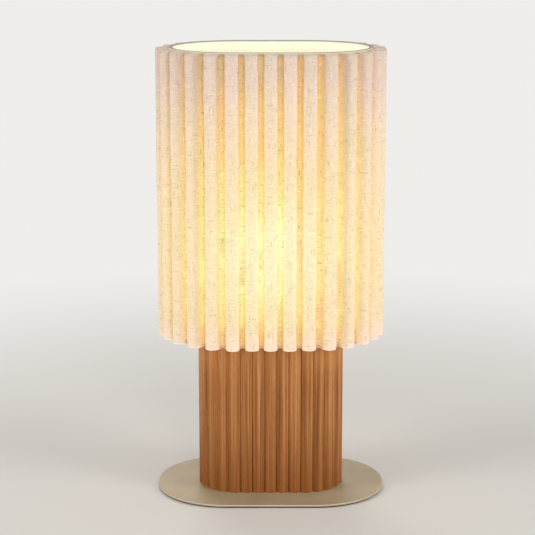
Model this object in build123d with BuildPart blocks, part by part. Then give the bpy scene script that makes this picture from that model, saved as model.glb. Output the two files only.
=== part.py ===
from build123d import *
from math import acos, degrees, pi, radians, sqrt, tan
import os

# Driving dimensions in millimetres. X runs along the lamp, the front faces -Y and the table is at Z = 0.

# Base plate, its pad and its screws
plate_front_length = 90.0
plate_side_length = 10.0
plate_corner_radius = 71.5
plate_thickness = 2.2
plate_edge_round = 0.8
pad_thickness = 1.3
pad_inset = 1.5
pad_edge_round = 0.3
base_screw_span_x = 60.0
base_screw_span_y = 28.0
base_screw_radius = 2.0
base_screw_length = 12.0
base_screw_head_radius = 3.8
base_screw_head_angle = 90.0
base_screw_slot_width = 1.0
base_screw_slot_depth = 0.8

# Reeded column
reed_count = 30
front_reed_pairs = 3
column_straight_length = 66.0
column_groove_radius = 37.5
column_height = 168.5
reed_rise = 4.0
reed_backing = 2.5
reed_gap = 0.12
core_wall = 9.0
foot_board_thickness = 16.0
top_board_thickness = 12.0
top_board_lip = 4.0
board_clearance = 0.05

# Cable bush at the back of the foot
bush_height = 22.0
bush_bore_radius = 3.25
bush_shank_radius = 4.25
bush_flange_radius = 5.3
bush_flange_thickness = 3.0
bush_dome = 1.4
bush_dome_slope = 45.0
bush_inner_stand_out = 1.5
bush_clearance = 0.05

# Lamp pipe with its washers and nuts
pipe_radius = 5.0
pipe_bore_radius = 3.5
pipe_below_board = 14.0
thread_clearance = 0.05
washer_radius = 12.0
washer_thickness = 1.6
nut_across_flats = 14.0
nut_thickness = 3.5

# Lampholder
cap_collar_radius = 8.0
cap_collar_height = 6.0
cap_pipe_grip = 7.5
cap_cone_height = 6.0
cap_radius = 19.5
cap_wall = 2.0
cap_height = 28.0
skirt_flange_radius = 23.0
skirt_flange_height = 3.0
skirt_foot_height = 5.0
skirt_thread_radius = 19.8
skirt_thread_depth = 0.7
skirt_thread_pitch = 2.0
skirt_thread_turns = 12
skirt_lip_height = 6.0
skirt_bore_radius = 15.2
contact_block_thickness = 11.0
contact_block_clearance = 0.1
shell_wall = 0.5
shell_pitch = 3.6
shell_turns = 4
shell_thread_depth = 1.0
shell_foot_height = 2.0
terminal_length = 9.0
terminal_width = 6.0
terminal_height = 6.0
terminal_spread = 20.0
terminal_screw_radius = 1.5
terminal_screw_head_radius = 2.4
terminal_screw_head_height = 1.4
tongue_width = 5.0
tongue_foot = 8.0
tongue_ramp = 4.0
tongue_tip = 4.0
tongue_thickness = 0.5
tongue_rise = 1.6

# Push-through switch bar
switch_bar_size = 6.0
switch_bar_round = 1.2
switch_travel = 6.0
switch_bar_stand_out = 8.0
switch_bar_clearance = 0.2

# Fluted shade
flute_count = 30
shade_straight_length = 68.0
liner_radius = 67.0
liner_thickness = 0.8
shade_height = 291.0
column_in_shade = 8.0
flute_depth = 14.0
flute_nose_radius = 6.6
flute_valley_fullness = 0.9
fabric_thickness = 0.9
fabric_glue_gap = 0.1
fabric_below_top = 1.0
fold_clearance = 0.3
wire_radius = 1.5
tape_thickness = 0.5
tape_height = 9.0
tape_seam = 0.4
arm_radius = 1.75
arm_bend_radius = 12.0
arm_weld_depth = 0.5
arm_flange_gap = 1.2
arm_notch_clearance = 0.1
fitter_ring_radius = 28.0
fitter_ring_thickness = 2.0
fitter_clearance = 0.5
fitter_seat_gap = 0.05

# Retaining ring
ring_radius = 27.0
ring_height = 7.0
ring_clearance = 0.08
ring_seat_gap = 0.1
ring_notch_count = 12
ring_notch_radius = 2.0
ring_edge_round = 0.8

# Bulb
bulb_globe_radius = 30.0
bulb_length = 107.5
bulb_wall = 1.2
bulb_join_radius = 26.5
bulb_ledge_width = 3.5
bulb_ledge_thickness = 1.5
bulb_neck_radius = 14.4
bulb_neck_height = 28.5
bulb_cap_crest_radius = 13.1
bulb_cap_root_radius = 12.3
bulb_cap_pitch = 3.6
bulb_cap_turns = 4
bulb_cap_wall = 0.4
bulb_thread_height = 6.5
insulator_radius = 10.6
insulator_plug_height = 2.5
tip_radius = 4.6
tip_height = 1.2
led_board_radius = 24.5
led_board_thickness = 1.6
led_count = 12
led_size = 3.0
led_height = 0.8
led_circle_radius = 16.0
driver_board_width = 20.0
driver_board_height = 24.0
driver_board_thickness = 1.6
capacitor_radius = 4.0
capacitor_height = 12.0

# Heights worked out from the dimensions above
plate_bottom = pad_thickness
plate_top = plate_bottom + plate_thickness
column_top = plate_top + column_height
shade_bottom = column_top - column_in_shade
shade_top = shade_bottom + shade_height
upper_nut_bottom = column_top + washer_thickness
cap_bottom = upper_nut_bottom + nut_thickness
cap_top = cap_bottom + cap_height
cap_floor = cap_bottom + cap_collar_height + cap_cone_height
flange_bottom = cap_top + skirt_foot_height
flange_top = flange_bottom + skirt_flange_height
skirt_thread_top = flange_top + skirt_thread_pitch * skirt_thread_turns
skirt_top = skirt_thread_top + skirt_lip_height
block_top = flange_top
block_bottom = block_top - contact_block_thickness
fitter_bottom = flange_top + fitter_seat_gap
fitter_top = fitter_bottom + fitter_ring_thickness
ring_bottom = fitter_top + ring_seat_gap
tip_bottom = block_top + tongue_rise + tongue_thickness + thread_clearance
bulb_thread_bottom = tip_bottom + bulb_thread_height
bulb_thread_top = bulb_thread_bottom + bulb_cap_pitch * bulb_cap_turns
bulb_neck = tip_bottom + bulb_neck_height
bulb_centre = tip_bottom + bulb_length - bulb_globe_radius
bulb_join = bulb_centre - sqrt(bulb_globe_radius**2 - bulb_join_radius**2)
switch_bar_height = (cap_floor + block_bottom) / 2
arm_height = fitter_bottom - arm_radius + arm_weld_depth
top_wire_height = shade_top - tape_thickness - wire_radius
bottom_wire_height = shade_bottom + tape_thickness + wire_radius

# Widths worked out from the dimensions above
core_radius = column_groove_radius - reed_backing
core_inner_radius = core_radius - core_wall
reed_pitch = (2 * column_straight_length + 2 * pi * column_groove_radius) / reed_count
column_front = column_groove_radius + reed_rise
liner_inner_radius = liner_radius - liner_thickness
flute_pitch = (2 * shade_straight_length + 2 * pi * liner_radius) / flute_count
flute_valley_radius = (flute_pitch / 2 - flute_nose_radius) * flute_valley_fullness
wire_track_radius = liner_inner_radius - wire_radius
arm_leg_radius = wire_track_radius - wire_radius - arm_radius + arm_weld_depth
block_radius = cap_radius - cap_wall - contact_block_clearance
tube_section = Plane(origin=(0, 0, 0), x_dir=(0, -1, 0), z_dir=(-1, 0, 0))


def outline_place(straight, radius, travel):
    """Point on a straight-sided outline with round ends, and the angle that faces outward there.

    Travel is measured along the outline from the middle of the front, towards +X.
    """
    half = straight / 2
    end_arc = pi * radius
    travel = travel % (2 * straight + 2 * end_arc)
    if travel <= half:
        return Vector(travel, -radius), -90.0
    travel -= half
    if travel <= end_arc:
        angle = degrees(travel / radius) - 90.0
        return Vector(half, 0) + Vector(radius, 0).rotate(Axis.Z, angle), angle
    travel -= end_arc
    if travel <= straight:
        return Vector(half - travel, radius), 90.0
    travel -= straight
    if travel <= end_arc:
        angle = degrees(travel / radius) + 90.0
        return Vector(-half, 0) + Vector(radius, 0).rotate(Axis.Z, angle), angle
    travel -= end_arc
    return Vector(travel - half, -radius), -90.0


def outward(angle):
    """Unit vector that faces outward at an angle."""
    return Vector(1, 0).rotate(Axis.Z, angle)


def draw_plate(inset):
    """Oblong with large round corners, drawn inside the plate's outline by the inset."""
    width = plate_front_length + 2 * plate_corner_radius - 2 * inset
    depth = plate_side_length + 2 * plate_corner_radius - 2 * inset
    RectangleRounded(width, depth, plate_corner_radius - inset)


def draw_reed(number):
    """Section of one reed: a round front between two grooves, on a flat back that fits the core."""
    ends = []
    for side in (-1, 1):
        travel = (number + side / 2) * reed_pitch
        groove, angle = outline_place(column_straight_length, column_groove_radius, travel)
        along = outward(angle + 90) * (-side * reed_gap / 2)
        ends.append((groove + along, groove + along - outward(angle) * 2 * reed_backing))
    middle, angle = outline_place(column_straight_length, column_groove_radius, number * reed_pitch)
    (front_start, back_start), (front_end, back_end) = ends
    with BuildLine() as outline:
        ThreePointArc(front_start, middle + outward(angle) * reed_rise, front_end)
        Polyline(front_end, back_end, back_start, front_start)
    make_face(outline.edges())
    SlotCenterToCenter(column_straight_length, 2 * core_radius, mode=Mode.SUBTRACT)


def flute_centre(number):
    """Middle of the round nose of a flute, and the angle that faces outward there."""
    place, angle = outline_place(shade_straight_length, liner_radius, number * flute_pitch)
    return place + outward(angle) * (flute_depth - flute_nose_radius), angle


def valley_centre(number):
    """Middle of the round valley after a flute, and the angle that faces outward there."""
    place, angle = outline_place(shade_straight_length, liner_radius, (number + 0.5) * flute_pitch)
    rise = fabric_glue_gap + fabric_thickness + flute_valley_radius
    return place + outward(angle) * rise, angle


def flank_ends(nose, nose_radius, valley, valley_radius, side):
    """Where a straight flank leaves the nose and where it meets the valley."""
    reach = valley - nose
    lean = degrees(acos((nose_radius + valley_radius) / reach.length))
    aim = reach.normalized().rotate(Axis.Z, side * lean)
    return nose + aim * nose_radius, valley - aim * valley_radius


def draw_flutes(inset):
    """Area within all flutes, drawn inside the outer face of the fabric by the inset."""
    nose_radius = flute_nose_radius - inset
    valley_radius = flute_valley_radius + inset
    with BuildLine() as outline:
        for number in range(flute_count):
            nose, nose_angle = flute_centre(number)
            next_nose, next_angle = flute_centre(number + 1)
            valley, valley_angle = valley_centre(number)
            last_valley, last_angle = valley_centre(number - 1)
            nose_in = flank_ends(nose, nose_radius, last_valley, valley_radius, 1)[0]
            nose_out, valley_in = flank_ends(nose, nose_radius, valley, valley_radius, -1)
            valley_out = flank_ends(next_nose, nose_radius, valley, valley_radius, 1)[1]
            ThreePointArc(nose_in, nose + outward(nose_angle) * nose_radius, nose_out)
            Line(nose_out, valley_in)
            ThreePointArc(valley_in, valley - outward(valley_angle) * valley_radius, valley_out)
            next_in = flank_ends(next_nose, nose_radius, valley, valley_radius, 1)[0]
            Line(valley_out, next_in)
    make_face(outline.edges())


def edge_track(height):
    """Path of an edge wire, once round the shade from the middle of the front."""
    half = shade_straight_length / 2
    radius = wire_track_radius
    with BuildLine(Plane.XY.offset(height)) as track:
        Line((0, -radius), (half, -radius))
        CenterArc((half, 0), radius, -90, 180)
        Line((half, radius), (-half, radius))
        CenterArc((-half, 0), radius, 90, 180)
        Line((-half, -radius), (0, -radius))
    return track.wire()


def draw_edge_tape(edge, inward):
    """Section of a tape at an edge of the shade: round the wire and down the inner face of the liner."""
    wire_height = edge + inward * (tape_thickness + wire_radius)
    strip_height = edge + inward * tape_height / 2
    liner_height = edge + inward * (tape_thickness + tape_height)
    cap_width = wire_radius + liner_thickness
    with Locations((wire_track_radius, wire_height)):
        Circle(wire_radius + tape_thickness)
    with Locations((liner_inner_radius - tape_thickness / 2, strip_height)):
        Rectangle(tape_thickness, tape_height)
    with Locations((liner_inner_radius + tape_height / 2, liner_height)):
        Rectangle(tape_height, 2 * tape_height, mode=Mode.SUBTRACT)
    with Locations((wire_track_radius + cap_width / 2, edge + inward * tape_thickness / 2)):
        Rectangle(cap_width, tape_thickness)
    with Locations((wire_track_radius, wire_height)):
        Circle(wire_radius, mode=Mode.SUBTRACT)
    with Locations((liner_inner_radius, wire_height)):
        Rectangle(2 * tape_seam, 2 * tape_seam, mode=Mode.SUBTRACT)


def draw_wave(radius, depth, start, pitch, turns):
    """Edge of a rounded thread on the section plane, from its lower end upward."""
    for turn in range(turns):
        low = start + turn * pitch
        ThreePointArc((radius, low), (radius + depth / 2, low + pitch / 4), (radius, low + pitch / 2))
        ThreePointArc(
            (radius, low + pitch / 2), (radius - depth / 2, low + 3 * pitch / 4), (radius, low + pitch)
        )


# Foam pad under the plate
with BuildPart() as base_pad:
    with BuildSketch():
        draw_plate(pad_inset)
    extrude(amount=pad_thickness)
    fillet(base_pad.edges().group_by(Axis.Z)[0], pad_edge_round)
base_pad.part.label = "base_pad"

# Flat plate with softened edges and four countersunk holes
with BuildPart() as base_plate:
    with BuildSketch(Plane.XY.offset(plate_bottom)):
        draw_plate(0)
    extrude(amount=plate_thickness)
    fillet(base_plate.edges().group_by(Axis.Z)[-1], plate_edge_round)
    fillet(base_plate.edges().group_by(Axis.Z)[0], plate_edge_round)
    with Locations(Plane.XY.offset(plate_bottom).rotated((180, 0, 0))):
        with GridLocations(base_screw_span_x, base_screw_span_y, 2, 2):
            CounterSinkHole(
                base_screw_radius + thread_clearance,
                base_screw_head_radius,
                counter_sink_angle=base_screw_head_angle,
            )
base_plate.part.label = "base_plate"

# Four countersunk screws, heads down in the plate
head_foot_radius = base_screw_head_radius - thread_clearance
head_depth = (head_foot_radius - base_screw_radius) / tan(radians(base_screw_head_angle / 2))
with BuildPart() as base_screws:
    with BuildSketch(Plane.XY.offset(plate_bottom)):
        with GridLocations(base_screw_span_x, base_screw_span_y, 2, 2):
            Circle(base_screw_radius)
    extrude(amount=plate_thickness + base_screw_length)
    with BuildSketch(Plane.XY.offset(plate_bottom)):
        with GridLocations(base_screw_span_x, base_screw_span_y, 2, 2):
            Circle(head_foot_radius)
    extrude(amount=head_depth, taper=base_screw_head_angle / 2)
    with BuildSketch(Plane.XY.offset(plate_bottom)):
        with GridLocations(base_screw_span_x, base_screw_span_y, 2, 2):
            Rectangle(2 * base_screw_head_radius, base_screw_slot_width)
    extrude(amount=base_screw_slot_depth, mode=Mode.SUBTRACT)
base_screws.part.label = "base_screws"

# Hollow core with a hole for the cable bush
with BuildPart() as column_core:
    with BuildSketch(Plane.XY.offset(plate_top)):
        SlotCenterToCenter(column_straight_length, 2 * core_radius)
        SlotCenterToCenter(column_straight_length, 2 * core_inner_radius, mode=Mode.SUBTRACT)
    extrude(amount=column_height - top_board_lip)
    with BuildSketch(Plane.XZ):
        with Locations((0, plate_top + bush_height)):
            Circle(bush_shank_radius + bush_clearance)
    extrude(amount=-column_front, mode=Mode.SUBTRACT)
column_core.part.label = "column_core"

# Board in the foot of the core, with holes for the screws
with BuildPart() as column_foot_board:
    with BuildSketch(Plane.XY.offset(plate_top)):
        SlotCenterToCenter(column_straight_length, 2 * (core_inner_radius - board_clearance))
        with GridLocations(base_screw_span_x, base_screw_span_y, 2, 2):
            Circle(base_screw_radius + thread_clearance, mode=Mode.SUBTRACT)
    extrude(amount=foot_board_thickness)
column_foot_board.part.label = "column_foot_board"

# Stepped board that closes the core and carries the pipe
with BuildPart() as column_top_board:
    with BuildSketch(Plane.XY.offset(column_top - top_board_lip)):
        SlotCenterToCenter(column_straight_length, 2 * core_radius)
    extrude(amount=top_board_lip)
    with BuildSketch(Plane.XY.offset(column_top - top_board_thickness)):
        SlotCenterToCenter(column_straight_length, 2 * (core_inner_radius - board_clearance))
    extrude(amount=top_board_thickness - top_board_lip)
    with BuildSketch(Plane.XY.offset(column_top)):
        Circle(pipe_radius + thread_clearance)
    extrude(amount=-top_board_thickness, mode=Mode.SUBTRACT)
column_top_board.part.label = "column_top_board"


# Reeds round the core, counted from the middle of the front
def stand_reeds(first, last):
    """A run of reeds, each one a separate solid, from one number up to another."""
    for number in range(first, last):
        with BuildSketch(Plane.XY.offset(plate_top)) as section:
            draw_reed(number)
        extrude(section.sketch, amount=column_height)


right_start = front_reed_pairs + 1
back_start = right_start + (reed_count - 2 * (2 * front_reed_pairs + 1)) // 2
left_start = back_start + 2 * front_reed_pairs + 1

with BuildPart() as reeds_front:
    stand_reeds(-front_reed_pairs, right_start)
reeds_front.part.label = "reeds_front"

with BuildPart() as reeds_right:
    stand_reeds(right_start, back_start)
reeds_right.part.label = "reeds_right"

# The middle reed of the back has the seat and the hole for the cable bush
with BuildPart() as reeds_back:
    stand_reeds(back_start, left_start)
    with BuildSketch(Plane.XZ.offset(-column_front)):
        with Locations((0, plate_top + bush_height)):
            Circle(bush_flange_radius + bush_clearance)
    extrude(amount=bush_flange_thickness, mode=Mode.SUBTRACT)
    with BuildSketch(Plane.XZ.offset(-column_front)):
        with Locations((0, plate_top + bush_height)):
            Circle(bush_shank_radius + bush_clearance)
    extrude(amount=column_front - core_radius, mode=Mode.SUBTRACT)
reeds_back.part.label = "reeds_back"

with BuildPart() as reeds_left:
    stand_reeds(left_start, reed_count - front_reed_pairs)
reeds_left.part.label = "reeds_left"

# Bush with a domed flange outside and a bore for a cable
with BuildPart() as cable_bush:
    with BuildSketch(Plane.XZ.offset(-column_front)):
        with Locations((0, plate_top + bush_height)):
            Circle(bush_flange_radius)
    extrude(amount=bush_flange_thickness)
    with BuildSketch(Plane.XZ.offset(-column_front)):
        with Locations((0, plate_top + bush_height)):
            Circle(bush_flange_radius)
    extrude(amount=-bush_dome, taper=bush_dome_slope)
    with BuildSketch(Plane.XZ.offset(-column_front)):
        with Locations((0, plate_top + bush_height)):
            Circle(bush_shank_radius)
    extrude(amount=column_front - core_inner_radius + bush_inner_stand_out)
    with BuildSketch(Plane.XZ.offset(-column_front - bush_dome)):
        with Locations((0, plate_top + bush_height)):
            Circle(bush_bore_radius)
    extrude(amount=column_front, mode=Mode.SUBTRACT)
cable_bush.part.label = "cable_bush"

# Threaded pipe through the top board
with BuildPart() as lamp_pipe:
    with BuildSketch(Plane.XY.offset(column_top - top_board_thickness - pipe_below_board)):
        Circle(pipe_radius)
        Circle(pipe_bore_radius, mode=Mode.SUBTRACT)
    extrude(amount=cap_bottom + cap_pipe_grip - column_top + top_board_thickness + pipe_below_board)
lamp_pipe.part.label = "lamp_pipe"

# A washer under the board and one on it
with BuildPart() as pipe_washers:
    for washer_height in (column_top - top_board_thickness - washer_thickness, column_top):
        with BuildSketch(Plane.XY.offset(washer_height)):
            Circle(washer_radius)
            Circle(pipe_radius + thread_clearance, mode=Mode.SUBTRACT)
        extrude(amount=washer_thickness)
pipe_washers.part.label = "pipe_washers"

# A nut under the lower washer and one on the upper washer
with BuildPart() as pipe_nuts:
    lower_nut_bottom = column_top - top_board_thickness - washer_thickness - nut_thickness
    for nut_height in (lower_nut_bottom, upper_nut_bottom):
        with BuildSketch(Plane.XY.offset(nut_height)):
            RegularPolygon(nut_across_flats / 2, 6, major_radius=False)
            Circle(pipe_radius + thread_clearance, mode=Mode.SUBTRACT)
        extrude(amount=nut_thickness)
pipe_nuts.part.label = "pipe_nuts"

# Lower housing of the lampholder, open at the top, with two slots for the switch bar
switch_slot_size = switch_bar_size + 2 * switch_bar_clearance
with BuildPart() as holder_cap:
    with BuildSketch(Plane.XZ):
        with BuildLine():
            Polyline(
                (pipe_radius + thread_clearance, cap_bottom),
                (cap_collar_radius, cap_bottom),
                (cap_collar_radius, cap_bottom + cap_collar_height),
                (cap_radius, cap_floor),
                (cap_radius, cap_top),
                (cap_radius - cap_wall, cap_top),
                (cap_radius - cap_wall, cap_floor + cap_wall / 2),
                (pipe_radius + thread_clearance, cap_bottom + cap_pipe_grip),
                close=True,
            )
        make_face()
    revolve(axis=Axis.Z)
    with BuildSketch(Plane.XZ):
        with Locations((0, switch_bar_height)):
            Rectangle(switch_slot_size, switch_slot_size)
    extrude(amount=cap_radius, both=True, mode=Mode.SUBTRACT)
holder_cap.part.label = "holder_cap"

# Insulating block that the terminals hang on
with BuildPart() as contact_block:
    with BuildSketch(Plane.XY.offset(block_bottom)):
        Circle(block_radius)
    extrude(amount=contact_block_thickness)
contact_block.part.label = "contact_block"

# Two brass terminals under the block
with BuildPart() as terminal_blocks:
    with BuildSketch(Plane.XY.offset(block_bottom)):
        with GridLocations(terminal_spread, 1, 2, 1):
            Rectangle(terminal_width, terminal_length)
            Circle(terminal_screw_radius + thread_clearance, mode=Mode.SUBTRACT)
    extrude(amount=-terminal_height)
terminal_blocks.part.label = "terminal_blocks"

# A screw in each terminal, head down
with BuildPart() as terminal_screws:
    with BuildSketch(Plane.XY.offset(block_bottom)):
        with GridLocations(terminal_spread, 1, 2, 1):
            Circle(terminal_screw_radius)
    extrude(amount=-terminal_height)
    with BuildSketch(Plane.XY.offset(block_bottom - terminal_height)):
        with GridLocations(terminal_spread, 1, 2, 1):
            Circle(terminal_screw_head_radius)
    extrude(amount=-terminal_screw_head_height)
terminal_screws.part.label = "terminal_screws"

# Bent brass tongue that presses on the tip of the bulb
with BuildPart() as centre_contact:
    with BuildSketch(Plane.XZ):
        with BuildLine():
            Polyline(
                (-tongue_foot - tongue_ramp, block_top),
                (-tongue_ramp, block_top),
                (0, block_top + tongue_rise),
                (tongue_tip, block_top + tongue_rise),
                (tongue_tip, block_top + tongue_rise + tongue_thickness),
                (0, block_top + tongue_rise + tongue_thickness),
                (-tongue_ramp, block_top + tongue_thickness),
                (-tongue_foot - tongue_ramp, block_top + tongue_thickness),
                close=True,
            )
        make_face()
    extrude(amount=tongue_width / 2, both=True)
centre_contact.part.label = "centre_contact"

# Brass shell with rounded thread rings
shell_middle = skirt_bore_radius - thread_clearance - shell_thread_depth / 2
shell_thread_bottom = block_top + shell_foot_height
shell_top = shell_thread_bottom + shell_pitch * shell_turns
with BuildPart() as lamp_screw_shell:
    with BuildSketch(Plane.XZ):
        with BuildLine():
            draw_wave(shell_middle, shell_thread_depth, shell_thread_bottom, shell_pitch, shell_turns)
            Line((shell_middle, shell_top), (shell_middle - shell_wall, shell_top))
            draw_wave(
                shell_middle - shell_wall, shell_thread_depth, shell_thread_bottom, shell_pitch, shell_turns
            )
            Polyline(
                (shell_middle - shell_wall, shell_thread_bottom),
                (shell_middle - shell_wall, block_top),
                (shell_middle, block_top),
                (shell_middle, shell_thread_bottom),
            )
        make_face()
    revolve(axis=Axis.Z)
lamp_screw_shell.part.label = "lamp_screw_shell"

# Outer sleeve with a flange under the shade and an outside thread for the ring
skirt_thread_middle = skirt_thread_radius - skirt_thread_depth / 2
with BuildPart() as holder_skirt:
    with BuildSketch(Plane.XZ):
        with BuildLine():
            Polyline(
                (skirt_thread_middle, flange_top),
                (skirt_flange_radius, flange_top),
                (skirt_flange_radius, flange_bottom),
                (cap_radius, flange_bottom),
                (cap_radius, cap_top),
                (cap_radius - cap_wall, cap_top),
                (cap_radius - cap_wall, block_top),
                (skirt_bore_radius, block_top),
                (skirt_bore_radius, skirt_top),
                (skirt_thread_middle, skirt_top),
                (skirt_thread_middle, skirt_thread_top),
            )
            draw_wave(
                skirt_thread_middle, skirt_thread_depth, flange_top, skirt_thread_pitch, skirt_thread_turns
            )
        make_face()
    revolve(axis=Axis.Z)
holder_skirt.part.label = "holder_skirt"

# Square bar through the lampholder, at rest as pressed from the back
switch_bar_length = 2 * (cap_radius + switch_bar_stand_out) + switch_travel
with BuildPart() as switch_bar:
    with BuildSketch(Plane.XZ.offset(switch_bar_length / 2 + switch_travel / 2)):
        with Locations((0, switch_bar_height)):
            Rectangle(switch_bar_size, switch_bar_size)
    extrude(amount=-switch_bar_length)
    fillet(switch_bar.faces().sort_by(Axis.Y)[0].edges(), switch_bar_round)
    fillet(switch_bar.faces().sort_by(Axis.Y)[-1].edges(), switch_bar_round)
switch_bar.part.label = "switch_bar"

# Fluted cover, folded in at both ends so that it closes the flutes
cover_height = shade_height - fabric_below_top
with BuildPart() as shade_fabric:
    with BuildSketch(Plane.XY.offset(shade_bottom)):
        draw_flutes(0)
    extrude(amount=cover_height)
    with BuildSketch(Plane.XY.offset(shade_bottom)):
        draw_flutes(fabric_thickness)
    extrude(amount=cover_height, mode=Mode.SUBTRACT)
    for fold_height in (shade_bottom, shade_bottom + cover_height - fabric_thickness):
        with BuildSketch(Plane.XY.offset(fold_height)):
            draw_flutes(0)
            SlotCenterToCenter(
                shade_straight_length,
                2 * (liner_radius + fabric_glue_gap + fold_clearance),
                mode=Mode.SUBTRACT,
            )
        extrude(amount=fabric_thickness)
shade_fabric.part.label = "shade_fabric"

# Smooth liner between the edge tapes
with BuildPart() as shade_liner:
    with BuildSketch(Plane.XY.offset(shade_bottom + tape_thickness)):
        SlotCenterToCenter(shade_straight_length, 2 * liner_radius)
        SlotCenterToCenter(shade_straight_length, 2 * liner_inner_radius, mode=Mode.SUBTRACT)
    extrude(amount=shade_height - 2 * tape_thickness)
shade_liner.part.label = "shade_liner"

# Wire in the top edge
with BuildPart() as top_wire:
    with BuildSketch(tube_section):
        with Locations((wire_track_radius, top_wire_height)):
            Circle(wire_radius)
    sweep(path=edge_track(top_wire_height))
top_wire.part.label = "top_wire"

# Tape over the top edge
with BuildPart() as top_edge_tape:
    with BuildSketch(tube_section):
        draw_edge_tape(shade_top, -1)
    sweep(path=edge_track(top_wire_height))
top_edge_tape.part.label = "top_edge_tape"

# Places of the four arm legs, on the ends and on the long sides
leg_reach_x = shade_straight_length / 2 + arm_leg_radius
leg_places = [(leg_reach_x, 0), (0, arm_leg_radius), (-leg_reach_x, 0), (0, -arm_leg_radius)]

# Tape over the bottom edge, notched at the legs
with BuildPart() as bottom_edge_tape:
    with BuildSketch(tube_section):
        draw_edge_tape(shade_bottom, 1)
    sweep(path=edge_track(bottom_wire_height))
    with BuildSketch(Plane.XY.offset(shade_bottom)):
        with Locations(*leg_places):
            Circle(arm_radius + arm_notch_clearance)
    extrude(amount=tape_height, mode=Mode.SUBTRACT)
bottom_edge_tape.part.label = "bottom_edge_tape"

# Wire in the bottom edge
with BuildPart() as bottom_wire:
    with BuildSketch(tube_section):
        with Locations((wire_track_radius, bottom_wire_height)):
            Circle(wire_radius)
    sweep(path=edge_track(bottom_wire_height))
bottom_wire.part.label = "bottom_wire"

# Four bent arms, cut to fit where they are welded beside the bottom wire and under the ring
arm_start = skirt_flange_radius + arm_flange_gap
with BuildPart() as carrier_arms:
    for leg_x, leg_y in leg_places:
        reach = Vector(leg_x, leg_y)
        aim = reach.normalized()
        with BuildLine():
            FilletPolyline(
                aim * arm_start + Vector(0, 0, arm_height),
                reach + Vector(0, 0, arm_height),
                reach + Vector(0, 0, bottom_wire_height),
                radius=arm_bend_radius,
            )
        with BuildSketch(Plane(origin=aim * arm_start + Vector(0, 0, arm_height), z_dir=aim)):
            Circle(arm_radius)
        sweep()
    with BuildSketch(tube_section):
        with Locations((wire_track_radius, bottom_wire_height)):
            Circle(wire_radius)
    sweep(path=edge_track(bottom_wire_height), mode=Mode.SUBTRACT)
    with BuildSketch(Plane.XY.offset(fitter_bottom)):
        Circle(fitter_ring_radius)
    extrude(amount=fitter_ring_thickness, mode=Mode.SUBTRACT)
carrier_arms.part.label = "carrier_arms"

# Ring of the shade's frame, which sits on the flange of the lampholder
with BuildPart() as carrier_ring:
    with BuildSketch(Plane.XY.offset(fitter_bottom)):
        Circle(fitter_ring_radius)
        Circle(skirt_thread_radius + fitter_clearance, mode=Mode.SUBTRACT)
    extrude(amount=fitter_ring_thickness)
carrier_ring.part.label = "carrier_ring"

# Notched ring that clamps the shade
with BuildPart() as retaining_ring:
    with BuildSketch(Plane.XY.offset(ring_bottom)):
        Circle(ring_radius)
    extrude(amount=ring_height)
    fillet(retaining_ring.edges().group_by(Axis.Z)[-1], ring_edge_round)
    with BuildSketch(Plane.XY.offset(ring_bottom)):
        Circle(skirt_thread_radius + ring_clearance)
        with PolarLocations(ring_radius, ring_notch_count):
            Circle(ring_notch_radius)
    extrude(amount=ring_height, mode=Mode.SUBTRACT)
retaining_ring.part.label = "retaining_ring"

# Opal dome of the bulb
dome_inner_radius = bulb_globe_radius - bulb_wall
join_drop = bulb_centre - bulb_join
dome_inner_join = sqrt(dome_inner_radius**2 - join_drop**2)
with BuildPart() as bulb_diffuser:
    with BuildSketch(Plane.XZ):
        with BuildLine():
            ThreePointArc(
                (bulb_join_radius, bulb_join),
                (bulb_globe_radius, bulb_centre),
                (0, bulb_centre + bulb_globe_radius),
            )
            Line((0, bulb_centre + bulb_globe_radius), (0, bulb_centre + dome_inner_radius))
            ThreePointArc(
                (0, bulb_centre + dome_inner_radius),
                (dome_inner_radius, bulb_centre),
                (dome_inner_join, bulb_join),
            )
            Line((dome_inner_join, bulb_join), (bulb_join_radius, bulb_join))
        make_face()
    revolve(axis=Axis.Z)
bulb_diffuser.part.label = "bulb_diffuser"

# White housing that widens from the cap to the dome, with a ledge for the board
ledge_radius = bulb_join_radius - bulb_ledge_width
with BuildPart() as bulb_housing:
    with BuildSketch(Plane.XZ):
        with BuildLine():
            Spline(
                (bulb_neck_radius, bulb_neck),
                (bulb_join_radius, bulb_join),
                tangents=[(0, 1), (join_drop, bulb_join_radius)],
            )
            Polyline(
                (bulb_join_radius, bulb_join),
                (ledge_radius, bulb_join),
                (ledge_radius, bulb_join - bulb_ledge_thickness),
                (bulb_join_radius - 2 * bulb_wall, bulb_join - bulb_ledge_thickness),
            )
            Spline(
                (bulb_join_radius - 2 * bulb_wall, bulb_join - bulb_ledge_thickness),
                (bulb_neck_radius - bulb_wall, bulb_neck),
                tangents=[(-join_drop, -bulb_join_radius), (0, -1)],
            )
            Line((bulb_neck_radius - bulb_wall, bulb_neck), (bulb_neck_radius, bulb_neck))
        make_face()
    revolve(axis=Axis.Z)
bulb_housing.part.label = "bulb_housing"

# Round board on the ledge
with BuildPart() as bulb_led_board:
    with BuildSketch(Plane.XY.offset(bulb_join)):
        Circle(led_board_radius)
    extrude(amount=led_board_thickness)
bulb_led_board.part.label = "bulb_led_board"

# Ring of light-emitting diodes on the board
with BuildPart() as bulb_leds:
    with BuildSketch(Plane.XY.offset(bulb_join + led_board_thickness)):
        with PolarLocations(led_circle_radius, led_count):
            Rectangle(led_size, led_size)
    extrude(amount=led_height)
bulb_leds.part.label = "bulb_leds"

# Upright board in the housing
with BuildPart() as bulb_driver_board:
    with BuildSketch(Plane.YZ):
        with Locations((0, bulb_join - driver_board_height / 2)):
            Rectangle(driver_board_width, driver_board_height)
    extrude(amount=driver_board_thickness / 2, both=True)
bulb_driver_board.part.label = "bulb_driver_board"

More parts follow.
